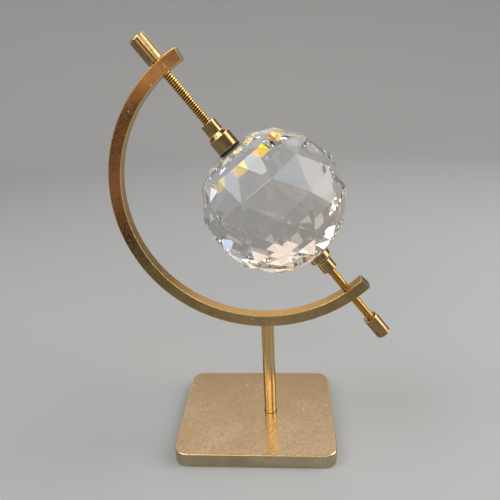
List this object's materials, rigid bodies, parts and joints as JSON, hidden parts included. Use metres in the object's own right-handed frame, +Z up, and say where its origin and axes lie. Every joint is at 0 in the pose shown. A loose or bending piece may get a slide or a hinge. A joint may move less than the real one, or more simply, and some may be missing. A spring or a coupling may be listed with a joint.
{
  "type": "decorative sphere on stand",
  "caption": "Faceted clear crystal ball held between two threaded brass clamps in a C-shaped brass arc, on a round post and a rectangular brass base plate.",
  "frame": {"origin": "centre of the base plate's underside", "axes": "+Z up, the front faces -Y, the arc lies in the XZ plane and opens towards +X and up"},
  "size_m": [0.16, 0.0804, 0.2457],
  "materials": {
    "base_brass": "satin brushed brass with a dull patina and fine pits",
    "arc_brass": "satin bar brass, browned patina on the sides, bright along the edges",
    "post_brass": "polished drawn brass rod",
    "turned_brass": "polished turned brass",
    "thread_brass": "cut thread, golden crests and brown grooves",
    "crystal": "polished cut facets",
    "rubber": "matt black"
  },
  "bodies": {
    "stand": {"base_plate": "base_brass", "post": "post_brass", "arc": "arc_brass"},
    "upper_cup": {"upper_cup": "turned_brass", "upper_pad": "rubber"},
    "upper_screw": {"upper_screw": "thread_brass", "upper_knob": "turned_brass"},
    "lower_cup": {"lower_cup": "turned_brass", "lower_pad": "rubber", "crystal_ball": "crystal"},
    "lower_screw": {"lower_screw": "thread_brass", "lower_knob": "turned_brass"}
  },
  "joints": [
    {"name": "upper_clamp_slide", "type": "slide", "parent": "stand", "child": "upper_cup", "axis": [-0.6046, 0, 0.7965], "range_m": [0, 0.031]},
    {"name": "upper_knob_turn", "type": "hinge", "parent": "upper_cup", "child": "upper_screw", "pos_m": [0.00942, 0, 0.16327], "axis": [-0.6046, 0, 0.7965], "range_deg": [0, 8600]},
    {"name": "lower_clamp_slide", "type": "slide", "parent": "stand", "child": "lower_cup", "axis": [0.6046, 0, -0.7965], "range_m": [0, 0.016]},
    {"name": "lower_knob_turn", "type": "hinge", "parent": "lower_cup", "child": "lower_screw", "pos_m": [0.00942, 0, 0.16327], "axis": [0.6046, 0, -0.7965], "range_deg": [0, 4450]}
  ],
  "couplings": [
    {"joint": "upper_knob_turn", "follows": "upper_clamp_slide", "rad_per_m": 4833.2},
    {"joint": "lower_knob_turn", "follows": "lower_clamp_slide", "rad_per_m": 4833.2}
  ]
}
